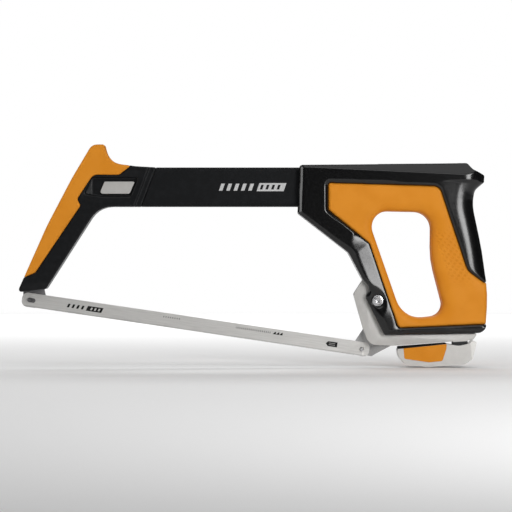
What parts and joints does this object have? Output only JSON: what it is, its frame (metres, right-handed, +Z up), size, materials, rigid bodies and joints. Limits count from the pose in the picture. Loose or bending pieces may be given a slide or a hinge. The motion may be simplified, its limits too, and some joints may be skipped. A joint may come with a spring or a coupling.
{
  "type": "hacksaw",
  "caption": "Hacksaw with a tubular beam, a closed soft-grip handle, a lever that slackens the blade and a spare blade kept in the beam.",
  "frame": {"origin": "under the middle of the saw, at the height of its lowest point, the underside of the release lever", "axes": "+X from the front of the saw to the handle's heel, +Z up with the beam level, +Y to the right-hand side of someone sawing towards -X"},
  "size_m": [0.4158, 0.0348, 0.1977],
  "materials": {
    "beam_coat": "matt black powder coat",
    "black_plastic": "glossy moulded black",
    "soft_grip": "satin orange soft grip",
    "bumper_rubber": "matt black rubber",
    "tang_steel": "satin",
    "bright_steel": "bright zinc plate",
    "plate_steel": "satin",
    "bronze": "plain",
    "cast_metal": "fine satin die casting",
    "blade_steel": "satin"
  },
  "bodies": {
    "frame": {"beam": "beam_coat", "front_arm": "black_plastic", "front_grip": "soft_grip", "front_tang": "tang_steel", "front_blade_pin": "bright_steel", "front_screws": "bright_steel", "handle_shell_left": "black_plastic", "handle_shell_right": "black_plastic", "handle_grip_left": "soft_grip", "handle_grip_right": "soft_grip", "handle_screws": "bright_steel", "side_plate_left": "plate_steel", "side_plate_right": "plate_steel", "beam_rivets": "bright_steel", "pivot_bolt": "bright_steel", "pivot_nut": "bright_steel", "pivot_washers": "bright_steel", "pivot_bush": "bronze", "catch_pin": "bright_steel"},
    "arm": {"tension_arm": "cast_metal", "rear_tang": "tang_steel", "rear_blade_pin": "bright_steel"},
    "lever": {"lever_body": "cast_metal", "lever_pad": "soft_grip", "lever_bumper": "bumper_rubber", "lever_hook": "plate_steel", "lever_pin": "bright_steel"},
    "fitted_blade": {"blade": "blade_steel"},
    "stored_blade": {"store_slider": "cast_metal", "spare_blade": "blade_steel"}
  },
  "joints": [
    {"name": "arm_release", "type": "hinge", "parent": "frame", "child": "arm", "pos_m": [0.11055, 0, 0.05886], "axis": [0, 1, 0], "range_deg": [0, 3.6]},
    {"name": "lever_open", "type": "hinge", "parent": "arm", "child": "lever", "pos_m": [0.18425, 0, 0.01436], "axis": [0, -1, 0], "range_deg": [0, 55]},
    {"name": "blade_follow", "type": "hinge", "parent": "arm", "child": "fitted_blade", "pos_m": [0.09725, 0, 0.01556], "axis": [0, -1, 0], "range_deg": [0, 3.8]},
    {"name": "store_slide", "type": "slide", "parent": "frame", "child": "stored_blade", "axis": [-1, 0, 0], "range_m": [0, 0.006]}
  ],
  "couplings": [
    {"joint": "arm_release", "follows": "lever_open", "ratio": 0.0635},
    {"joint": "blade_follow", "follows": "lever_open", "ratio": 0.0651}
  ]
}
